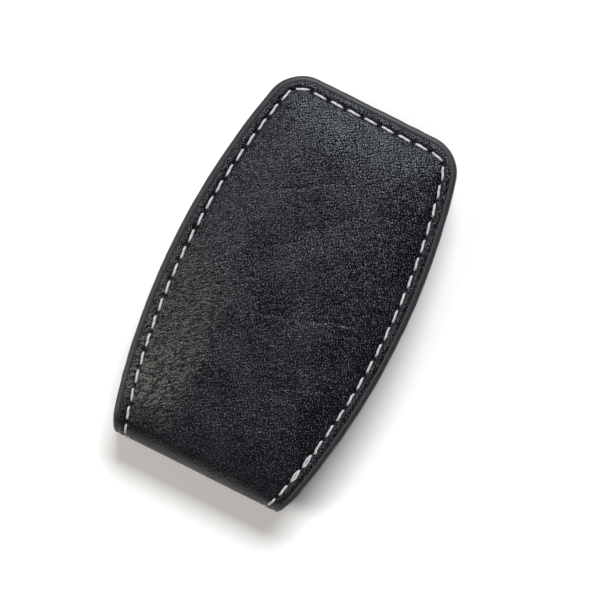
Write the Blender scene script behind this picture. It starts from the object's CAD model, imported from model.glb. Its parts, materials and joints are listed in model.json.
"""Money clip: the looks of a lined, padded and stitched strip of leather, folded once.

Lengths in this script are in millimetres until a mesh is made. The strip is described laid flat:
x runs across it, s runs along it from the middle of the fold (positive on the front flap, negative
on the back flap), and depth runs in from the outer face of its sewn margin. A ring is a line at a
constant inset from the strip's outline.
"""
import json
import math
from typing import NamedTuple

import bmesh
import bpy
import numpy as np
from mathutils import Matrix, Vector


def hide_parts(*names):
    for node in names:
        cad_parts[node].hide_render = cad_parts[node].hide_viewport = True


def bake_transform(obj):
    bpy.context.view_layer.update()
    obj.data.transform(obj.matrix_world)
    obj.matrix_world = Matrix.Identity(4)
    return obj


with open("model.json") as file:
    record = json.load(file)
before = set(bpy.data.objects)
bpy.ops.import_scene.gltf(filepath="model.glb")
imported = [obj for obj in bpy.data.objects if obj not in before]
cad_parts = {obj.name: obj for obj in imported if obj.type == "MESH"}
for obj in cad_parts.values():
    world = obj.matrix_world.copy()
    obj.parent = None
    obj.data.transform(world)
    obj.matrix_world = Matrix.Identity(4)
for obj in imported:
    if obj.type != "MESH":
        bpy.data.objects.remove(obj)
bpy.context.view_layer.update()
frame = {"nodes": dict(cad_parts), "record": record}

# ---------------------------------------------------------------- sizes, as in the CAD

MM = 0.001
CLIP_LEN, BODY_W = 71.4, 43.4
SIDE_R, CORNER_R = 129.0, 7.0
NOTE_GAP = 4.4
OUTER_T, LINING_T, CORE_T = 1.2, 0.8, 1.7
MARGIN_W, CROWN_IN = 3.4, 9.0       # the padding's slope goes from the one inset to the other
EDGE_T = 0.35
SEAM_IN, SEAM_CORNER_R = 2.6, 3.3
STITCH_LEN, THREAD_PROUD = 2.5, 0.1
DOUBLED_STITCHES = 3
WAIST = 3.0                         # up to here from the fold's middle, the sides are rounded

STRIP_T = OUTER_T + LINING_T
TOTAL_H = 2 * (STRIP_T + CORE_T) + NOTE_GAP
FOLD_R_IN = NOTE_GAP / 2
FOLD_R_MID = FOLD_R_IN + LINING_T
FOLD_R = FOLD_R_MID + OUTER_T
FOLD_Y = THREAD_PROUD + FOLD_R - CLIP_LEN / 2
FOLD_Z = TOTAL_H / 2
TIP_Y = CLIP_LEN / 2
SIDE_CX = BODY_W / 2 - SIDE_R
FOLD_ARC = FOLD_R * math.pi / 2     # from the middle of the fold to where a flap starts
SECTION = FOLD_R * math.pi / 4      # from the middle of the fold to the middle of the next section
TIP_S = FOLD_ARC + TIP_Y - FOLD_Y

# Rings round their corners less the further in they are, and from this inset on not at all
SHARP_INSET = CORNER_R * SEAM_IN / (CORNER_R - SEAM_CORNER_R)


def smooth(t):
    """A smooth step from 0 at 0 to 1 at 1."""
    t = np.clip(t, 0, 1)
    return t * t * (3 - 2 * t)


def ridge(v, centre, width):
    """A bell from 0 to 1 with its top at centre, about a third as high at width from it."""
    return np.exp(-(((v - centre) / width) ** 2))


def flat_y(s):
    """The y of a flap's point at s. Over the fold, it is as if the flap ran straight on."""
    return np.abs(s) - FOLD_ARC + FOLD_Y


def half_width(s, inset=0.0):
    """Half the strip's width at s, at an inset from its edge. It rounds off at the fold's middle."""
    r = SIDE_R - inset
    w = SIDE_CX + np.sqrt(r**2 - flat_y(s) ** 2)
    y = flat_y(WAIST)
    at_waist = SIDE_CX + np.sqrt(r**2 - y**2)
    slope = -y / np.sqrt(r**2 - y**2)
    return np.where(np.abs(s) > WAIST, w, at_waist - slope * (WAIST**2 - np.square(s)) / (2 * WAIST))


def corner_centre(inset, r):
    """The middle of the round corner of a ring, whose radius is r."""
    cy = TIP_Y - inset - r
    return SIDE_CX + np.sqrt((SIDE_R - inset - r) ** 2 - cy**2), cy


def place(x, s, depth):
    """Folds points of the flat strip into the closed clip."""
    x, s, depth = np.broadcast_arrays(x, s, depth)
    turn = np.clip(s / FOLD_R, -math.pi / 2, math.pi / 2)
    r = FOLD_R - depth
    y = FOLD_Y - r * np.cos(turn) + np.maximum(np.abs(s) - FOLD_ARC, 0)
    return np.stack([x, y, FOLD_Z + r * np.sin(turn)], axis=-1)


NOISE_CELLS = 97                    # the noise repeats after this many cells
NOISE_ORIGIN = (41.3, 43.7)         # where in its cells the noise has its origin


def value_noise(x, y, cell, seed):
    """Smooth noise from -1 to 1 with features of about cell."""
    table = np.random.default_rng(seed).uniform(-1, 1, (NOISE_CELLS, NOISE_CELLS))
    u, v = np.asarray(x) / cell + NOISE_ORIGIN[0], np.asarray(y) / cell + NOISE_ORIGIN[1]
    iu, iv = np.floor(u).astype(int), np.floor(v).astype(int)
    fu, fv = smooth(u - iu), smooth(v - iv)

    def corner(a, b):
        return table[(iu + a) % NOISE_CELLS, (iv + b) % NOISE_CELLS]

    low = corner(0, 0) * (1 - fu) + corner(1, 0) * fu
    high = corner(0, 1) * (1 - fu) + corner(1, 1) * fu
    return low * (1 - fv) + high * fv


# ---------------------------------------------------------------- the seam

# The seam's line goes on a little past the tip's middle, so that the last stitch has a direction
SEAM_PAST = 2.0
BEND_POINTS, SIDE_POINTS, TIP_POINTS = 60, 400, 100
HOLE_SPAN = 0.4                     # a hole's direction comes from points this far before and after it


def seam_line():
    """The seam's right half as tables of length, x and s: over the fold, up the side and across the tip.
    The last value is the length up to the tip's middle."""
    fold = np.linspace(0, FOLD_ARC, BEND_POINTS)
    r = SIDE_R - SEAM_IN
    cx, cy = corner_centre(SEAM_IN, SEAM_CORNER_R)
    corner_start = math.atan2(cy, cx - SIDE_CX)
    side = np.linspace(math.asin(FOLD_Y / r), corner_start, SIDE_POINTS)
    turn = np.linspace(corner_start, math.pi / 2, BEND_POINTS)
    top = np.linspace(cx, -SEAM_PAST, TIP_POINTS)
    x = np.concatenate([SIDE_CX + r * np.cos(side), cx + SEAM_CORNER_R * np.cos(turn), top])
    y = np.concatenate([r * np.sin(side), cy + SEAM_CORNER_R * np.sin(turn), 0 * top + TIP_Y - SEAM_IN])
    run = FOLD_ARC + np.concatenate([[0], np.cumsum(np.hypot(np.diff(x), np.diff(y)))])
    length = np.concatenate([fold, run])
    keep = np.concatenate([[True], np.diff(length) > 1e-9])
    xs = np.concatenate([half_width(fold, SEAM_IN), x])
    ss = np.concatenate([fold, y - FOLD_Y + FOLD_ARC])
    half = float(np.interp(0, -top, run[-len(top):]))
    return length[keep], xs[keep], ss[keep], half


SEAM_L, SEAM_X, SEAM_S, SEAM_HALF = seam_line()


def seam_at(length):
    """A point (x, s) of the right half of the seam; below 0 it runs on into the other flap."""
    s = np.interp(np.abs(length), SEAM_L, SEAM_S)
    return np.array([np.interp(np.abs(length), SEAM_L, SEAM_X), math.copysign(s, length)])


def seam_direction(length, reach):
    """The seam's direction, from the points that lie reach before and after."""
    d = seam_at(length + reach) - seam_at(length - reach)
    return d / np.hypot(*d)


def stitch_lengths():
    """Where along the right half each stitch of one flap has its middle, the fold's middle first."""
    pairs = round((SEAM_HALF - FOLD_ARC) / SECTION)
    pitch = (SEAM_HALF - FOLD_ARC) / pairs
    return [0.0, SECTION, FOLD_ARC] + [FOLD_ARC + i * pitch for i in range(1, pairs + 1)]


STITCHES = stitch_lengths()


def needle_holes():
    """Every needle hole of one flap and the fold next to it, as rows of x, s, direction x, direction s."""
    rows = []
    for a, b in zip(STITCHES, STITCHES[1:] + [2 * STITCHES[-1] - STITCHES[-2]]):
        middle = (a + b) / 2
        p = seam_at(middle)
        d = seam_direction(middle, HOLE_SPAN)
        rows.append([p[0], p[1], d[0], d[1]])
        if b <= STITCHES[-1]:
            rows.append([-p[0], p[1], -d[0], d[1]])
    return np.array(rows)


HOLES = needle_holes()

# ---------------------------------------------------------------- relief of the two faces

# The padding lifts the outer face in a slope from the seam inward, and in another along the strip
CROWN_RUN, CROWN_ROUND = 13.0, 2.6  # the first slope's length, and how much steeper its foot is
CROWN_CORNER = 1.6                  # how softly that slope goes round from the side to the tip
CROWN_FROM, CROWN_TO = 1.6, 12.0    # where the second starts and ends, from the fold's middle

# Unevenness of the padded face: height, size and seed. Some of the padding's height is left for it.
SWELLS = [(0.081, 9.0, 3), (0.027, 3.4, 5)]
SWELL_ROOM = 0.11

# Faint creases across the padded face: ends in x and s, depth
CREASES = [
    (-6.0, 31.6, 16.8, 38.6, 0.09),
    (-11.0, 52.0, 2.0, 60.5, 0.065),
    (3.0, 21.0, 15.0, 26.0, 0.065),
    (-14.5, 24.0, -6.0, 17.5, 0.08),
    (-9.0, 41.0, -1.0, 47.5, 0.055),
]
CREASE_W = 0.28
CREASE_WANDER = 0.5
CREASE_NOISE = (2.6, 11)            # the size and seed of the noise that they wander by
CREASE_FADE = 0.25                  # the share of a crease over which each of its ends fades out


class EdgeRelief(NamedTuple):
    """What a face has along its outline. Widths are half widths, and places are insets."""
    channel_w: float                # the channel that the stitches pull in
    channel_deep: float
    line_in: float                  # the pressed line next to the edge paint
    line_w: float
    line_deep: float
    paint_in: float                 # where the face starts to go down under the edge paint
    paint_deep: float
    hole_l: float                   # the needle holes, which are slots
    hole_w: float
    hole_deep: float
    hole_shade: float               # how dark the holes are, and the lines, from 0 to 1
    line_shade: float


OUTER_EDGE = EdgeRelief(channel_w=0.36, channel_deep=0.2, line_in=1.2, line_w=0.13, line_deep=0.05,
                        paint_in=1.15, paint_deep=0.24, hole_l=0.34, hole_w=0.16, hole_deep=0.3,
                        hole_shade=0.9, line_shade=0.3)
LINING_EDGE = EdgeRelief(channel_w=0.4, channel_deep=0.17, line_in=0.9, line_w=0.12, line_deep=0.08,
                         paint_in=0.85, paint_deep=0.2, hole_l=0.36, hole_w=0.2, hole_deep=0.22,
                         hole_shade=1.0, line_shade=0.4)
PAINT_RUN = 0.35
SHADE_W = 0.3                       # half the width of the dark line along the seam
ROLL_IN, ROLL_W, ROLL_H = 1.85, 0.4, 0.08  # the low roll of the outer face between seam and edge
HOLE_SLANT = math.radians(22)
HOLE_REACH = 3.0                    # a hole changes nothing further away
HOLE_PULL = 0.05                    # how far the leather is drawn in round a hole
HOLE_PULL_AREA = 0.8                # and over about how many square millimetres

# The smallest unevenness that is in the mesh: its height, and its size and seed on either face
FINE_H, OUTER_FINE, LINING_FINE = 0.012, (1.4, 8), (6.0, 21)
LINING_FLAT = 3.0                   # on the lining it starts at this inset, and is full at twice that


def hole_relief(x, s, edge):
    """How deep the needle holes and the leather round them lie, and the holes' slots from 0 to 1."""
    slots, pulls = np.zeros_like(x), np.zeros_like(x)
    for hx, hs, dx, ds in HOLES:
        turn = HOLE_SLANT if hx > 0 else -HOLE_SLANT
        ex, es = dx * math.cos(turn) - ds * math.sin(turn), dx * math.sin(turn) + ds * math.cos(turn)
        near = (np.abs(x - hx) < HOLE_REACH) & (np.abs(np.abs(s) - hs) < HOLE_REACH)
        px, ps = x[near] - hx, np.abs(s[near]) - hs
        u, v = px * ex + ps * es, -px * es + ps * ex
        slot = np.exp(-((u / edge.hole_l) ** 2) - (v / edge.hole_w) ** 2)
        slots[near] = np.maximum(slots[near], slot)
        pulls[near] += np.exp(-(u**2 + v**2) / HOLE_PULL_AREA)
    return edge.hole_deep * slots + HOLE_PULL * pulls, slots


def edge_relief(x, s, d, edge):
    """How deep a face lies along its outline at an inset d, and the needle holes' slots from 0 to 1."""
    dents, slots = hole_relief(x, s, edge)
    channel = edge.channel_deep * ridge(d, SEAM_IN, edge.channel_w)
    line = edge.line_deep * ridge(d, edge.line_in, edge.line_w)
    return dents + channel + line + edge.paint_deep * smooth((edge.paint_in - d) / PAINT_RUN), slots


def crown_height(s, a, b):
    """How far the padding lifts the outer face. a and b are the insets from the side and the tip."""
    inset = -CROWN_CORNER * np.log(np.exp(-a / CROWN_CORNER) + np.exp(-b / CROWN_CORNER)) - SEAM_IN
    sides = 1 - (1 - np.clip(inset / CROWN_RUN, 0, 1)) ** CROWN_ROUND
    return CORE_T * sides * smooth((np.abs(s) - CROWN_FROM) / (CROWN_TO - CROWN_FROM))


def crease_depth(x, s):
    """How deep the creases across the padded face are."""
    depth = 0
    for x0, s0, x1, s1, deep in CREASES:
        run = math.hypot(x1 - x0, s1 - s0)
        ux, us = (x1 - x0) / run, (s1 - s0) / run
        along = ((x - x0) * ux + (s - s0) * us) / run
        across = -(x - x0) * us + (s - s0) * ux + CREASE_WANDER * value_noise(x, s, *CREASE_NOISE)
        ends = smooth(along / CREASE_FADE) * smooth((1 - along) / CREASE_FADE)
        depth = depth + deep * ridge(across, 0, CREASE_W) * ends
    return depth


def outer_relief(x, s, a, b):
    """Height of the outer face over its margin, and how dark its seam and its pressed line are."""
    d = np.minimum(a, b)
    crown = crown_height(s, a, b)
    swell = crown / CORE_T
    uneven = sum(high * value_noise(x, s, size, seed) for high, size, seed in SWELLS)
    height = crown + (uneven - SWELL_ROOM) * swell - crease_depth(x, s)
    height += ROLL_H * ridge(d, ROLL_IN, ROLL_W)
    height += FINE_H * value_noise(x, s, *OUTER_FINE) * (1 - swell)
    dents, slots = edge_relief(x, s, d, OUTER_EDGE)
    lines = np.maximum(ridge(d, OUTER_EDGE.line_in, OUTER_EDGE.line_w), ridge(d, SEAM_IN, SHADE_W))
    return height - dents, np.maximum(OUTER_EDGE.hole_shade * slots, OUTER_EDGE.line_shade * lines)


def inner_relief(x, s, a, b):
    """The same for the lining's face, which is flat but for its seam."""
    d = np.minimum(a, b)
    dents, slots = edge_relief(x, s, d, LINING_EDGE)
    height = FINE_H * value_noise(x, s, *LINING_FINE) * smooth((d - LINING_FLAT) / LINING_FLAT)
    lines = ridge(d, SEAM_IN, SHADE_W)
    return height - dents, np.maximum(LINING_EDGE.hole_shade * slots, LINING_EDGE.line_shade * lines)


# ---------------------------------------------------------------- meshes

def new_object(name, verts, faces, flat=None, shade=None, normals=None, smooth_faces=None):
    """A mesh object from points in millimetres, with its flat coordinates stored for the materials."""
    mesh = bpy.data.meshes.new(name)
    mesh.from_pydata((np.asarray(verts) * MM).tolist(), [], faces)
    shading = np.ones(len(mesh.polygons), bool) if smooth_faces is None else smooth_faces
    mesh.polygons.foreach_set("use_smooth", shading)
    if flat is not None:
        attribute = mesh.attributes.new("flat", "FLOAT_VECTOR", "POINT")
        attribute.data.foreach_set("vector", np.asarray(flat, np.float32).ravel())
    if shade is not None:
        attribute = mesh.attributes.new("shade", "FLOAT", "POINT")
        attribute.data.foreach_set("value", np.asarray(shade, np.float32))
    mesh.validate()
    if normals is not None:
        mesh.normals_split_custom_set(normals)
    obj = bpy.data.objects.new(name, mesh)
    bpy.context.scene.collection.objects.link(obj)
    return obj


def as_rows(x, s, depth):
    """Flat positions as rows of three."""
    return np.stack(np.broadcast_arrays(x, s, depth), axis=-1).reshape(-1, 3)


COARSE = 4                          # a hidden face has one point for every 4 of the seen one, each way


class Spacing(NamedTuple):
    """How far apart a face's points are: near the outline, in the middle, and over the fold."""
    outer: float
    middle: float
    fold: float
    reach: float                    # how far in from the outline the first spacing goes


LEATHER_SPACING = Spacing(outer=0.16, middle=0.27, fold=0.14, reach=6.0)
LINING_SPACING = Spacing(outer=0.25, middle=0.9, fold=0.2, reach=5.0)
FOLD_ROWS_TO = 9.0                  # the fold's spacing goes on a little way into each flap


def steps(start, end, size):
    """Even steps from start to end of about that size, their number a multiple of COARSE."""
    count = max(COARSE, COARSE * round(abs(end - start) / size / COARSE))
    return np.linspace(start, end, count + 1)


def strip_columns(spacing):
    """Columns across the strip: (side, inset) near an edge, (0, share of the middle) between."""
    reach = spacing.reach
    edge = [(-1, inset) for inset in steps(EDGE_T, reach, spacing.outer)]
    count = COARSE * round((BODY_W - 2 * reach) / spacing.middle / COARSE)
    middle = [(0, share) for share in np.linspace(-1, 1, count + 1)[1:-1]]
    return np.array(edge + middle + [(1, inset) for _, inset in edge[::-1]])


def flap_rows(spacing):
    """Rows from the middle of a fold section to the tip."""
    outer_from = TIP_S - spacing.reach
    return np.concatenate([
        steps(SECTION, FOLD_ROWS_TO, spacing.fold),
        steps(FOLD_ROWS_TO, outer_from, spacing.middle)[1:],
        steps(outer_from, TIP_S - EDGE_T, spacing.outer)[1:],
    ])


def strip_rows(spacing, is_flap, sign):
    """The rows of one length of the strip, on the side of the fold's middle that sign says."""
    rows = flap_rows(spacing) if is_flap else steps(0, SECTION, spacing.fold)
    return rows if sign > 0 else -rows[::-1]


def round_corner(x, y, a, b):
    """Lays rings that would meet at a sharp corner of the tip round an arc there."""
    d = np.minimum(a, b)
    r = np.maximum(CORNER_R * (1 - d / SHARP_INSET), 1e-6)
    cx, cy = corner_centre(d, r)
    start = np.arctan2(cy, cx - SIDE_CX)
    middle = (start + math.pi / 2) / 2
    touch_y = (SIDE_R - d) * np.sin(start)
    sharp_x = SIDE_CX + np.sqrt((SIDE_R - d) ** 2 - (TIP_Y - d) ** 2)
    up_side = (y - touch_y) / (TIP_Y - d - touch_y)
    along_tip = (np.abs(x) - cx) / (sharp_x - cx)
    by_side = a <= b
    angle = np.where(by_side, start + up_side * (middle - start),
                     math.pi / 2 - along_tip * (math.pi / 2 - middle))
    rounded = (d < SHARP_INSET - 1e-3) & (np.where(by_side, up_side, along_tip) > 0)
    round_x = np.sign(x) * (cx + r * np.cos(angle))
    return np.where(rounded, round_x, x), np.where(rounded, cy + r * np.sin(angle), y)


def lay_out(spacing, s_values):
    """Flat positions of a grid over the strip, and each point's insets from the side and the tip."""
    columns, reach = strip_columns(spacing), spacing.reach
    side, level = columns[:, 0][None, :], columns[:, 1][None, :]
    s = np.abs(s_values)[:, None] + 0 * side
    edge = side != 0
    inset = np.where(edge, level, reach)
    x = np.where(edge, side, level) * half_width(s, inset)
    y = flat_y(s)
    bow = SIDE_R - np.hypot(np.abs(x) - SIDE_CX, y)
    bow_at_reach = SIDE_R - np.hypot(half_width(s, reach) - SIDE_CX, y)
    a = np.where(edge, level, reach + bow - bow_at_reach)
    b = TIP_S - s
    x, y = round_corner(x, y, a, b)
    return x, np.sign(s_values)[:, None] * (y - FOLD_Y + FOLD_ARC), a, b


def grid_normals(points, outward):
    """A normal at each point of a grid."""
    across, along = np.gradient(points, axis=1), np.gradient(points, axis=0)
    n = np.cross(across, along) * (1 if outward else -1)
    return n / np.maximum(np.linalg.norm(n, axis=2, keepdims=True), 1e-12)


def grid_faces(ids, flip):
    """The faces of a grid of point numbers."""
    q = np.stack([ids[:-1, :-1], ids[:-1, 1:], ids[1:, 1:], ids[1:, :-1]], axis=-1).reshape(-1, 4)
    return (q[:, ::-1] if flip else q).tolist()


def rim_faces(seen, hidden, flip):
    """Joins an edge of the seen face to the same edge of the hidden one, which has fewer points."""
    faces = []
    for i in range(len(hidden) - 1):
        fine = seen[COARSE * i:COARSE * (i + 1) + 1][::-1].tolist()
        loop = [*fine, int(hidden[i]), int(hidden[i + 1])]
        faces.append(loop[::-1] if flip else loop)
    return faces


def strip_shell(name, s_values, spacing, face_depth, back_depth, outward):
    """A closed layer of the strip. face_depth gives its seen face, finely, back_depth its hidden one."""
    # One row more at each end, so that normals match across two lengths of the strip
    more = [2 * s_values[0] - s_values[1], *s_values, 2 * s_values[-1] - s_values[-2]]
    x, s, a, b = lay_out(spacing, np.clip(more, -TIP_S + EDGE_T, TIP_S - EDGE_T))
    depth, shade = face_depth(x, s, a, b)
    points = place(x, s, depth)
    normals = grid_normals(points, outward)[1:-1]
    x, s, a, b, depth, shade, points = (v[1:-1] for v in (x, s, a, b, depth, shade, points))
    back_x, back_s, back_a, back_b = (v[::COARSE, ::COARSE] for v in (x, s, a, b))
    hidden = back_depth(back_x, back_s, back_a, back_b)

    fine = np.arange(x.size).reshape(x.shape)
    rough = x.size + np.arange(back_x.size).reshape(back_x.shape)
    seen_faces = grid_faces(fine, not outward)
    faces = seen_faces + grid_faces(rough, outward)
    smooth_count = len(faces)
    faces += rim_faces(fine[0], rough[0], not outward)
    faces += rim_faces(fine[-1], rough[-1], outward)
    faces += rim_faces(fine[:, -1], rough[:, -1], not outward)
    faces += rim_faces(fine[:, 0], rough[:, 0], outward)

    verts = np.concatenate([points.reshape(-1, 3), place(back_x, back_s, hidden).reshape(-1, 3)])
    flat = np.concatenate([as_rows(x, s, depth), as_rows(back_x, back_s, hidden)])
    shades = np.concatenate([shade.ravel(), np.zeros(back_x.size)])
    loops = np.zeros((sum(len(face) for face in faces), 3))
    loops[:4 * len(seen_faces)] = normals.reshape(-1, 3)[np.array(seen_faces).ravel()]
    smooth_faces = np.arange(len(faces)) < smooth_count
    return new_object(name, verts, faces, flat, shades, loops.tolist(), smooth_faces)


def tube_mesh(name, tubes):
    """A mesh of closed tubes. Each is a grid of flat positions x, s and depth, whose rows are rings."""
    verts, faces, flats = [], [], []
    base = 0
    for tube in tubes:
        x, s, depth = np.broadcast_arrays(*tube)
        verts.append(place(x, s, depth).reshape(-1, 3))
        flats.append(as_rows(x, s, depth))
        ids = base + np.arange(x.size).reshape(x.shape)
        after = np.roll(ids, -1, axis=1)
        faces += np.stack([ids[:-1], ids[1:], after[1:], after[:-1]], axis=-1).reshape(-1, 4).tolist()
        faces += [ids[0].tolist(), ids[-1][::-1].tolist()]
        base += x.size
    obj = new_object(name, np.concatenate(verts), faces, np.concatenate(flats))
    bm = bmesh.new()
    bm.from_mesh(obj.data)
    bmesh.ops.recalc_face_normals(bm, faces=bm.faces)
    bm.to_mesh(obj.data)
    bm.free()
    return obj


# ---------------------------------------------------------------- the painted edge

# Its section: inset and depth, round its outside and back through the leather
EDGE_SECTION = np.array([
    (1.17, 0.12), (1.1, 0.04), (0.9, -0.02), (0.6, 0.01), (0.32, 0.15), (0.13, 0.38), (0.03, 0.68),
    (0.0, 1.0), (0.03, 1.32), (0.12, 1.62), (0.28, 1.84), (0.5, 1.96), (0.72, 1.99), (0.86, 1.93),
    (0.9, 1.86), (0.6, 1.6), (0.5, 1.0), (0.7, 0.4),
])
EDGE_STEP = 0.4
EDGE_CORNER_POINTS = 28
NUDGE = 0.01                        # the outline's slope comes from points this far apart, each way
WOBBLE, WOBBLE_NOISE = 0.035, (1.7, 31)  # how far the outside of the paint wobbles; size and seed
WOBBLE_IN, WOBBLE_RUN = 0.4, 0.3    # the wobble starts at this inset, and is full this far outside it


def outline_path(s_from, s_to=None):
    """The strip's edge as rows of x, s and the inward normal, up the right side from s_from, and on
    round the tip and down the left side if s_to is None."""
    cx, cy = corner_centre(0, CORNER_R)
    start = math.atan2(cy, cx - SIDE_CX)
    touch = SIDE_R * math.sin(start) - FOLD_Y + FOLD_ARC
    s = steps(s_from, touch if s_to is None else s_to, EDGE_STEP)
    slope = (half_width(s + NUDGE) - half_width(s - NUDGE)) / (2 * NUDGE)
    length = np.hypot(1, slope)
    path = np.stack([half_width(s), s, -1 / length, slope / length], axis=1)
    if s_to is not None:
        return path
    angle = np.linspace(start, math.pi / 2, EDGE_CORNER_POINTS)[1:]
    arc = [cx + CORNER_R * np.cos(angle), cy + CORNER_R * np.sin(angle) - FOLD_Y + FOLD_ARC,
           -np.cos(angle), -np.sin(angle)]
    x = steps(cx, 0, EDGE_STEP)[1:]
    top = [x, 0 * x + TIP_S, 0 * x, 0 * x - 1]
    path = np.concatenate([path, np.stack(arc, axis=1), np.stack(top, axis=1)])
    left = path[-2::-1] * [-1, 1, -1, 1]
    return np.concatenate([path, left])


def edge_tube(path, sign):
    """The painted edge along a path."""
    inset, depth = EDGE_SECTION[:, 0][None, :], EDGE_SECTION[:, 1][None, :]
    px, ps, nx, ns = (path[:, i][:, None] for i in range(4))
    wobble = WOBBLE * value_noise(px, ps, *WOBBLE_NOISE) * smooth((WOBBLE_IN - inset) / WOBBLE_RUN)
    return px + nx * (inset + wobble), sign * (ps + ns * (inset + wobble)), depth


def edge_tubes(is_flap, sign):
    """The painted edge of one length of the strip."""
    if is_flap:
        return [edge_tube(outline_path(SECTION), sign)]
    right = outline_path(0.0, SECTION)
    return [edge_tube(path, sign) for path in (right, right[::-1] * [-1, 1, -1, 1])]


# ---------------------------------------------------------------- the thread

THREAD_R = 0.185
THREAD_WIDE, THREAD_WIDER = 1.05, 0.1  # how many times as wide as high, and how much more in its middle
THREAD_DEPTH = -0.03                # of its middle line, from the face
HOLE_DIVE = 0.45                    # how much deeper it lies in a hole
HOLE_THIN = 0.3                     # it is thinner in a hole by this share
INNER_SINK = 0.1                    # how much deeper the thread lies in the lining
PLIES, PLY_TURN, PLY_RIDGE = 3, 2 * math.pi / 1.3, 0.12
PLY_SHIFT = 0.7                     # the twist's start moves on along the seam at this share of its pace
STITCH_SLANT = math.radians(3)
TIP_SLANT = math.radians(-2)
TIP_NEAR = 0.1                      # a stitch this near to the seam's tip line is on it
LEAN_BACK = 0.5                     # how far a leaning stitch bends back to its holes, for each radian
UNEVEN_SLANT, UNEVEN_LEN = 0.035, 0.03
STITCH_NOISE = (1.0, 17)            # the size and seed of that unevenness
STITCH_APART, FLAP_APART, SIDE_APART = 3.7, 5.1, 2.3  # how far apart stitches are in the noise
OUTER_STITCH_POINTS = (21, 18)      # along a stitch and round it
INNER_STITCH_POINTS = (15, 12)
# Two stitches in one pair of holes: how far aside each lies, and its length and thickness as a share
PAIR_BOW, PAIR_LEN, PAIR_THICK = 0.215, 1.12, 0.8
# The thread's end is a short stitch: how far it lies before the first single one, how far aside, length
END_BACK, END_BOW, END_LEN = 1.1, 0.3, 0.4


def stitch_tube(length, mirror, sign, inner, part=0, bow=0.0, size=1.0):
    """One stitch as a twisted thread that dives into a hole at each end. part is -1 or 1 for the half
    of a stitch on that side of its middle, bow pushes its middle aside, and size scales its length."""
    middle = seam_at(length)
    centre = (seam_at(length - STITCH_LEN / 2) + seam_at(length + STITCH_LEN / 2) + 2 * middle) / 4
    d = seam_direction(length, STITCH_LEN / 2)
    way = -1 if inner != mirror else 1
    on_tip = middle[1] > TIP_S - SEAM_IN - TIP_NEAR
    # A half stitch goes on in the next length of the strip, so it neither leans nor varies
    spot = (length * STITCH_APART, sign * FLAP_APART + mirror * SIDE_APART)
    uneven = 0 if part else float(value_noise(*spot, *STITCH_NOISE))
    lean = 0 if part else way * (TIP_SLANT if on_tip else STITCH_SLANT)
    slant = lean + UNEVEN_SLANT * uneven
    d = np.array([d[0] * math.cos(slant) - d[1] * math.sin(slant),
                  d[0] * math.sin(slant) + d[1] * math.cos(slant)])
    across = np.array([d[1], -d[0]])
    along, around = INNER_STITCH_POINTS if inner else OUTER_STITCH_POINTS
    ends = (-1, 1) if part == 0 else (min(part, 0), max(part, 0))
    t = np.linspace(*ends, along if part == 0 else along // 2 + 1)[:, None]
    u = t * size * (1 + UNEVEN_LEN * uneven) * STITCH_LEN / 2
    turn = np.linspace(0, 2 * math.pi, around, endpoint=False)[None, :]
    ply = 1 + PLY_RIDGE * np.cos(PLIES * (turn - PLY_TURN / PLIES * (u + length * PLY_SHIFT)))
    r = THREAD_R * ply * (1 - HOLE_THIN * t**6) * (PAIR_THICK if bow else 1)
    aside = bow * (1 - t**2) - LEAN_BACK * lean * np.sin(math.pi * t)
    aside = aside + r * np.cos(turn) * (THREAD_WIDE + THREAD_WIDER * (1 - t**2))
    depth = THREAD_DEPTH + HOLE_DIVE * np.abs(t) ** 5 - r * np.sin(turn)
    if inner:
        depth = STRIP_T - INNER_SINK - depth
    x = centre[0] + u * d[0] + aside * across[0]
    s = centre[1] + u * d[1] + aside * across[1]
    return (-x if mirror else x), sign * s, depth


def seam_stitches(is_flap, sign, inner):
    """Every stitch of one face of a length of the strip. The seam's end is sewn twice."""
    tubes = []
    for mirror in (False, True):
        side = (mirror, sign, inner)
        tubes.append(stitch_tube(SECTION if is_flap else 0.0, *side, part=1))
        if not is_flap:
            tubes.append(stitch_tube(SECTION, *side, part=-1))
            continue
        last = len(STITCHES) - (1 if mirror else 0)
        for i, length in enumerate(STITCHES[2:last]):
            seam_end = sign > 0 and not mirror and not inner and 1 <= i <= DOUBLED_STITCHES
            if seam_end and i < DOUBLED_STITCHES:
                for bow in (-PAIR_BOW, PAIR_BOW):
                    tubes.append(stitch_tube(length, *side, bow=bow, size=PAIR_LEN))
                continue
            tubes.append(stitch_tube(length, *side))
            if seam_end:
                tubes.append(stitch_tube(length - END_BACK, *side, bow=END_BOW, size=END_LEN))
    return tubes


# ---------------------------------------------------------------- materials

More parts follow.
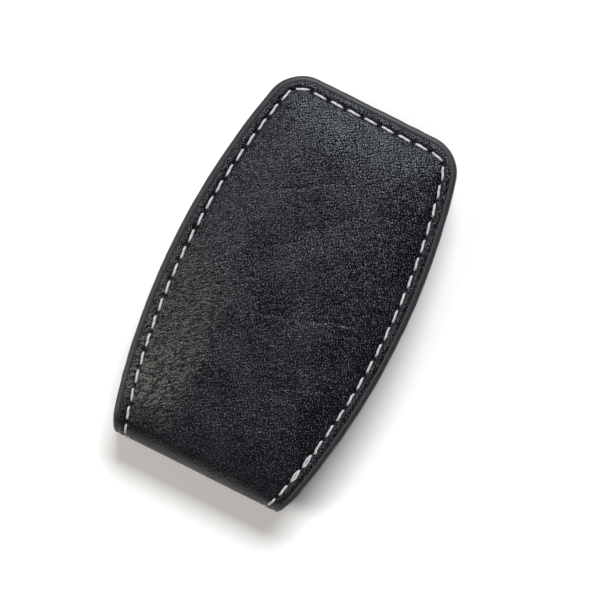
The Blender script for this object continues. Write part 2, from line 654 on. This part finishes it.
class Nodes:
    """A short way to write a material's nodes: each call adds its nodes and returns the last."""

    def __init__(self, name):
        self.material = bpy.data.materials.new(name)
        self.material.use_nodes = True
        self.tree = self.material.node_tree
        self.tree.nodes.clear()
        self.out = self.tree.nodes.new("ShaderNodeOutputMaterial")

    def put(self, socket, value):
        """Links a socket to another node's, or sets its value."""
        if isinstance(value, bpy.types.NodeSocket):
            self.tree.links.new(value, socket)
        else:
            socket.default_value = value

    def add(self, kind, settings=None, **inputs):
        """Adds a node. An input is given by its name, or as i0, i1 and so on by its number."""
        node = self.tree.nodes.new("ShaderNode" + kind)
        for key, value in (settings or {}).items():
            setattr(node, key, value)
        for key, value in inputs.items():
            numbered = key[0] == "i" and key[1:].isdigit()
            self.put(node.inputs[int(key[1:]) if numbered else key.replace("_", " ")], value)
        return node

    def chain(self, operation, values):
        """One number from two or more."""
        result, *rest = values
        for value in rest:
            result = self.add("Math", {"operation": operation}, i0=result, i1=value).outputs[0]
        return result

    def times(self, *values):
        return self.chain("MULTIPLY", values)

    def plus(self, *values):
        return self.chain("ADD", values)

    def ramp(self, value, low, high, to_low=0.0, to_high=1.0):
        """A smooth step, from to_low where the value is low, to to_high where it is high."""
        return self.add("MapRange", {"interpolation_type": "SMOOTHSTEP"}, Value=value, From_Min=low,
                        From_Max=high, To_Min=to_low, To_Max=to_high).outputs[0]

    def noise(self, vector, scale, detail=2.0, rough=0.5):
        return self.add("TexNoise", {"noise_dimensions": "3D"}, Vector=vector, Scale=scale, Detail=detail,
                        Roughness=rough).outputs["Fac"]

    def cells(self, vector, scale, randomness=1.0):
        """Cells in the flat: the distance from the nearest cell's middle, and a chance value for each."""
        node = self.add("TexVoronoi", {"voronoi_dimensions": "2D"}, Vector=vector, Scale=scale,
                        Randomness=randomness)
        return node.outputs["Distance"], self.add("SeparateColor", i0=node.outputs["Color"]).outputs[0]

    def stretch(self, vector, x, y, z=1.0, turn=0.0):
        """The vector, with what is drawn from it packed x, y and z times as close along turned axes."""
        mapping = self.add("Mapping", {"vector_type": "TEXTURE"}, Vector=vector,
                           Scale=(1 / x, 1 / y, 1 / z))
        mapping.inputs["Rotation"].default_value = (0, 0, turn)
        return mapping.outputs[0]

    def drift(self, vector, flat, scale, amount):
        """The vector moved about by a slow noise, which bends what is drawn from it."""
        noise = self.add("TexNoise", {"noise_dimensions": "3D"}, Vector=flat, Scale=scale, Detail=1.0)
        move = self.add("VectorMath", {"operation": "SCALE"}, i0=noise.outputs["Color"], Scale=amount)
        return self.add("VectorMath", {"operation": "ADD"}, i0=vector, i1=move.outputs[0]).outputs[0]

    def mix(self, share, a, b):
        """A colour from a to b."""
        return self.add("Mix", {"data_type": "RGBA"}, i0=share, i6=a, i7=b).outputs[2]

    def between(self, share, a, b):
        """A number from a to b."""
        return self.add("Mix", {"data_type": "FLOAT"}, i0=share, i2=a, i3=b).outputs[0]

    def finish(self, height=None, distance=0.0, **inputs):
        """The surface shader. Heights go through one bump node, whose distance is in metres."""
        if height is not None:
            inputs["Normal"] = self.add("Bump", Strength=1.0, Distance=distance, Height=height).outputs[0]
        shader = self.add("BsdfPrincipled", **inputs)
        self.tree.links.new(shader.outputs[0], self.out.inputs[0])
        return self.material


class StripNodes(Nodes):
    """A material for the strip, with its flat coordinates, and how deep in its seam a point is."""

    def __init__(self, name):
        super().__init__(name)
        self.flat = self.add("Attribute", {"attribute_name": "flat"}).outputs["Vector"]
        self.shade = self.add("Attribute", {"attribute_name": "shade"}).outputs["Fac"]


def rgb(r, g, b):
    return (r, g, b, 1.0)


# The place where the grain leather's finish has worn, and the fold's smoother leather: where each
# starts and where it is full, in x or s
WORN_SIDE, WORN_TIP, WORN_FOLD = (-5.0, -12.0), (43.0, 31.0), (6.5, 10.5)
BENT_OVER = (11.0, 4.0)
# The grain: pebbles about 0.3 mm by 0.5 mm. Their stretch, cells to a millimetre, randomness, and the
# two ways they lie
PEBBLE_STRETCH, PEBBLE_CELLS, PEBBLE_WAYS = (1.2, 0.72, 1.0), (2.7, 0.6), (0.5, -0.9)
GRAIN_HIGH = 0.000075


def grain_leather():
    n = StripNodes("black_grain_leather")
    split = n.add("SeparateXYZ", i0=n.flat)
    x, s = split.outputs[0], split.outputs[1]
    patch = n.noise(n.flat, 0.16, 3.0, 0.55)
    worn = n.times(n.ramp(x, *WORN_SIDE), n.ramp(s, *WORN_TIP), n.ramp(s, *WORN_FOLD))
    from_fold = n.add("Math", {"operation": "ABSOLUTE"}, i0=s).outputs[0]
    bent_over = n.ramp(from_fold, *BENT_OVER)
    # The pebbles lie one way in some places and the other way in others
    bent = n.drift(n.flat, n.flat, 1.0, 0.35)
    (one_way, one_chance), (other_way, other_chance) = [
        n.cells(n.stretch(bent, *PEBBLE_STRETCH, turn), *PEBBLE_CELLS) for turn in PEBBLE_WAYS]
    way = n.ramp(n.noise(n.flat, 1.1, 1.0), 0.46, 0.54)
    pebble = n.between(way, one_way, other_way)
    chance = n.between(way, one_chance, other_chance)
    grit = n.noise(n.stretch(bent, 1.0, 1.5, 1.0, 0.3), 1.7, 2.0, 0.6)
    pores = n.noise(n.flat, 6.0, 2.0, 0.6)
    # Faint folds lie everywhere, and finer wrinkles run across the worn place
    folds = n.noise(n.stretch(bent, 0.5, 2.1, 1.0, 0.7), 1.0, 2.0, 0.5)
    flowing = n.drift(bent, n.flat, 0.12, 5.0)
    wrinkles = n.noise(n.stretch(flowing, 0.8, 2.7, 1.0, 0.75), 1.0, 1.0, 0.5)

    dome = n.times(n.plus(n.times(pebble, pebble), pebble), -0.7)
    folded = n.plus(n.times(worn, 0.6), n.times(bent_over, 1.6), 0.5)
    height = n.plus(n.times(dome, n.ramp(patch, 0.3, 0.7, 0.8, 1.15)), n.times(pores, 0.16),
                    n.times(grit, 0.5), n.times(folds, folded), n.times(wrinkles, worn, 3.0))

    tone = n.mix(n.ramp(patch, 0.35, 0.65), rgb(0.0020, 0.0024, 0.0040), rgb(0.0036, 0.0040, 0.0060))
    streaks = n.times(worn, n.ramp(wrinkles, 0.45, 0.58), n.ramp(s, 34.0, 12.0, 0.4, 1.0))
    tone = n.mix(streaks, tone, rgb(0.0850, 0.0790, 0.0680))
    # The tops of some pebbles are polished pale, and the gaps between pebbles and the seam are dark
    top = n.mix(worn, rgb(0.220, 0.231, 0.264), rgb(0.240, 0.223, 0.194))
    polish = n.times(n.ramp(pebble, 0.22, 0.05), n.ramp(chance, 0.1, 0.9, 0.1, 1.0),
                     n.ramp(bent_over, 0.0, 1.0, 1.0, 0.4))
    tone = n.mix(polish, tone, top)
    gaps = n.times(n.ramp(pebble, 0.28, 0.45, 0.0, 0.9), n.ramp(worn, 0.0, 1.0, 1.0, 0.7))
    tone = n.mix(gaps, tone, rgb(0.0008, 0.0008, 0.0012))
    tone = n.mix(n.shade, tone, rgb(0.0015, 0.0015, 0.0018))
    rough = n.plus(n.ramp(patch, 0.3, 0.7, 0.22, 0.28), n.times(n.shade, 0.5), n.times(pores, 0.08))
    return n.finish(height, GRAIN_HIGH, Base_Color=tone, Roughness=rough, Specular_IOR_Level=0.25,
                    Specular_Tint=rgb(0.86, 0.91, 1.0))


def lining_leather():
    n = StripNodes("black_lining_leather")
    pores, _ = n.cells(n.flat, 3.4)
    fuzz = n.noise(n.flat, 7.0, 4.0, 0.6)
    patch = n.noise(n.flat, 0.12, 3.0)
    tone = n.mix(n.ramp(patch, 0.3, 0.7), rgb(0.009, 0.009, 0.011), rgb(0.015, 0.015, 0.017))
    tone = n.mix(n.shade, tone, rgb(0.002, 0.002, 0.002))
    height = n.plus(n.times(pores, -0.5), n.times(fuzz, 0.5))
    rough = n.ramp(fuzz, 0.3, 0.7, 0.5, 0.66)
    return n.finish(height, 0.00006, Base_Color=tone, Roughness=rough, Specular_IOR_Level=0.3)


def edge_paint():
    n = StripNodes("charcoal_edge_paint")
    fine = n.noise(n.flat, 6.0, 4.0, 0.6)
    drag = n.noise(n.stretch(n.flat, 1.0, 0.5), 1.6, 2.0)
    tone = n.mix(n.ramp(drag, 0.3, 0.7), rgb(0.010, 0.011, 0.013), rgb(0.018, 0.019, 0.021))
    rough = n.ramp(fine, 0.3, 0.7, 0.44, 0.58)
    height = n.plus(fine, n.times(drag, 0.8))
    return n.finish(height, 0.00003, Base_Color=tone, Roughness=rough, Specular_IOR_Level=0.4)


def thread_material():
    n = StripNodes("pale_thread")
    fibre = n.noise(n.stretch(n.flat, 9.0, 3.0, 9.0, 0.5), 1.0, 3.0, 0.6)
    soil = n.noise(n.flat, 0.4, 2.0)
    tone = n.mix(n.ramp(fibre, 0.3, 0.7), rgb(0.30, 0.30, 0.31), rgb(0.52, 0.52, 0.53))
    tone = n.mix(n.ramp(soil, 0.4, 0.7, 0.0, 0.3), tone, rgb(0.26, 0.26, 0.27))
    rough = n.ramp(fibre, 0.3, 0.7, 0.5, 0.7)
    return n.finish(fibre, 0.00003, Base_Color=tone, Roughness=rough, Sheen_Weight=0.2)


def inner_material(name, dark, light, scale, rough, metallic=0.0, bump=0.00003):
    """A material for the pieces sealed inside the clip, in object coordinates."""
    n = Nodes(name)
    spots = n.noise(n.add("TexCoord").outputs["Object"], scale, 4.0, 0.6)
    tone = n.mix(n.ramp(spots, 0.35, 0.65), rgb(*dark), rgb(*light))
    surface = n.ramp(spots, 0.3, 0.7, rough - 0.06, rough + 0.06)
    return n.finish(spots, bump, Base_Color=tone, Roughness=surface, Metallic=metallic)


MATERIALS = {
    "outer_leather": grain_leather(),
    "lining_leather": lining_leather(),
    "edge_paint": edge_paint(),
    "thread": thread_material(),
    "padding": inner_material("grey_felt", (0.06, 0.06, 0.065), (0.12, 0.12, 0.13), 2600, 0.9),
    "magnet_board": inner_material("leatherboard", (0.16, 0.1, 0.06), (0.26, 0.18, 0.11), 1500, 0.8),
    "magnet": inner_material("nickel", (0.5, 0.5, 0.51), (0.62, 0.62, 0.63), 900, 0.25, 1.0, 0.000004),
}
SEALED = ("padding", "magnet_board", "magnet")

# ---------------------------------------------------------------- the pieces

# The padding's rounded slope, as shares of its run and of its rise
PADDING_RUN = [0.0, 0.12, 0.3, 0.55, 1.0]
PADDING_RISE = [0.0, 0.36, 0.67, 0.9, 1.0]
PADDING_FROM = 0.2                  # how far past the fold the padding starts
PADDING_GAP = 0.04                  # between the padding and the leather over it

# Each length of the strip: the end of its pieces' names, whether it is a flap, its side of the fold's
# middle, the two bodies it joins, the degrees of the fold between which it bends, and the CAD sections
# it stands for
LENGTHS = [
    ("back_flap", True, -1, ("back_flap", "fold_section_1"), (0, 45), ("back", "fold_1")),
    ("fold_lower", False, -1, ("fold_section_1", "fold_section_2"), (45, 90), ("fold_2",)),
    ("fold_upper", False, 1, ("fold_section_2", "fold_section_3"), (90, 135), ("fold_3",)),
    ("front_flap", True, 1, ("fold_section_3", "front_flap"), (135, 180), ("front",)),
]


# The depth of each face of the two layers. All four take the same values, as strip_shell calls them:
# flat positions, and insets from the side and the tip.


def outer_face(x, s, a, b):
    height, shade = outer_relief(x, s, a, b)
    return -height, shade


def outer_back(x, s, a, b):
    """The leather's hidden face, which lies just over the padding."""
    run = np.minimum(np.minimum(a, b) - MARGIN_W, np.abs(s) - FOLD_ARC - PADDING_FROM)
    rise = np.interp(run / (CROWN_IN - MARGIN_W), PADDING_RUN, PADDING_RISE)
    return OUTER_T - PADDING_GAP - CORE_T * rise


def inner_face(x, s, a, b):
    height, shade = inner_relief(x, s, a, b)
    return STRIP_T + height, shade


def inner_back(x, s, a, b):
    return OUTER_T + 0 * x


def cad_nodes(sections, fold_part, flap_part):
    """The CAD nodes of one part of the strip, whose name may differ between a fold section and a flap."""
    return [f"{section}_{fold_part if section.startswith('fold') else flap_part}" for section in sections]


def build_length(label, is_flap, sign, bodies, bend, sections):
    """The five pieces of one length of the strip: two leathers, the painted edge and two threads."""
    def finish_piece(obj, slot, fold_part, flap_part=None):
        """Gives a piece its material, bends it across its hinge, and names the CAD nodes it stands for."""
        obj.data.materials.append(MATERIALS[slot])
        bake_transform(obj)
        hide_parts(*cad_nodes(sections, fold_part, flap_part or fold_part))

    rows = strip_rows(LEATHER_SPACING, is_flap, sign)
    outer = strip_shell("outer_leather_" + label, rows, LEATHER_SPACING, outer_face, outer_back, True)
    finish_piece(outer, "outer_leather", "leather", "outer_leather")

    rows = strip_rows(LINING_SPACING, is_flap, sign)
    lining = strip_shell("lining_" + label, rows, LINING_SPACING, inner_face, inner_back, False)
    finish_piece(lining, "lining_leather", "lining")

    paint = tube_mesh("edge_paint_" + label, edge_tubes(is_flap, sign))
    finish_piece(paint, "edge_paint", "edge_paint")

    for part, inner, radius in (("outer_thread", False, FOLD_R_MID), ("inner_thread", True, FOLD_R_IN)):
        thread = tube_mesh(f"{part}_{label}", seam_stitches(is_flap, sign, inner))
        finish_piece(thread, "thread", part)


for length in LENGTHS:
    build_length(*length)

for part in frame["record"]["subparts"]:
    if part["material_slot"] in SEALED:
        node = frame["nodes"][part["node"]]
        node.data.materials.clear()
        node.data.materials.append(MATERIALS[part["material_slot"]])

# ---------------------------------------------------------------- floor, light and camera

VIEW_TURN = math.radians(26.6)      # how far the clip is turned in the view
UP = np.array([-math.sin(VIEW_TURN), math.cos(VIEW_TURN)])
RIGHT = np.array([math.cos(VIEW_TURN), math.sin(VIEW_TURN)])
FLOOR_SIDE = 1800
CAMERA_SPOT = (0.00245, -0.00155, 0.3593)  # in metres, as for a light's place
LENS, SENSOR = 120, 36
WORLD_COLOUR, WORLD_STRENGTH = (0.95, 0.97, 1.0, 1.0), 0.07

# Soft lights: name; place in metres, right of the view's middle, above it in the view, and high; size;
# power; colour
LIGHTS = [
    ("top_softbox", (0.14, 0.44, 0.50), (0.40, 0.28), 6.6, (0.97, 0.98, 1.0)),
    ("front_fill", (0.10, -0.50, 0.40), (0.50, 0.30), 0.6, (1.0, 0.98, 0.97)),
    ("left_softbox", (-0.44, 0.02, 0.42), (0.26, 0.30), 2.2, (1.0, 0.95, 0.88)),
]


def in_view(right, up, height):
    """A place in metres, right of and above the view's middle, at that height over the floor."""
    spot = RIGHT * right + UP * up
    return (spot[0], spot[1], height)


def make_floor():
    n = Nodes("pale_floor")
    shades = n.ramp(n.noise(n.add("TexCoord").outputs["Object"], 3.0, 2.0), 0.3, 0.7)
    tone = n.mix(shades, rgb(0.86, 0.86, 0.86), rgb(0.88, 0.88, 0.88))
    half = FLOOR_SIDE / 2
    verts = [(-half, -half, 0), (half, -half, 0), (half, half, 0), (-half, half, 0)]
    floor = new_object("floor", verts, [(0, 1, 2, 3)])
    floor.data.materials.append(n.finish(Base_Color=tone, Roughness=0.9))


def add_light(name, spot, size, power, colour):
    """A soft light aimed at the clip."""
    lamp = bpy.data.lights.new(name, "AREA")
    lamp.shape = "RECTANGLE"
    lamp.size, lamp.size_y = size
    lamp.energy, lamp.color = power, colour
    obj = bpy.data.objects.new(name, lamp)
    obj.location = in_view(*spot)
    obj.rotation_euler = (-Vector(obj.location)).to_track_quat("-Z", "Y").to_euler()
    bpy.context.scene.collection.objects.link(obj)


def make_camera():
    camera = bpy.data.cameras.new("camera")
    camera.lens, camera.sensor_width = LENS, SENSOR
    camera.clip_start = 0.01
    obj = bpy.data.objects.new("camera", camera)
    obj.location = in_view(*CAMERA_SPOT)
    obj.rotation_euler = (0, 0, VIEW_TURN)
    bpy.context.scene.collection.objects.link(obj)
    bpy.context.scene.camera = obj


def make_world():
    scene = bpy.context.scene
    scene.view_settings.view_transform = "Standard"
    scene.world = bpy.data.worlds.new("world")
    scene.world.use_nodes = True
    background = scene.world.node_tree.nodes["Background"]
    background.inputs["Color"].default_value = WORLD_COLOUR
    background.inputs["Strength"].default_value = WORLD_STRENGTH


make_floor()
for light in LIGHTS:
    add_light(*light)
make_camera()
make_world()
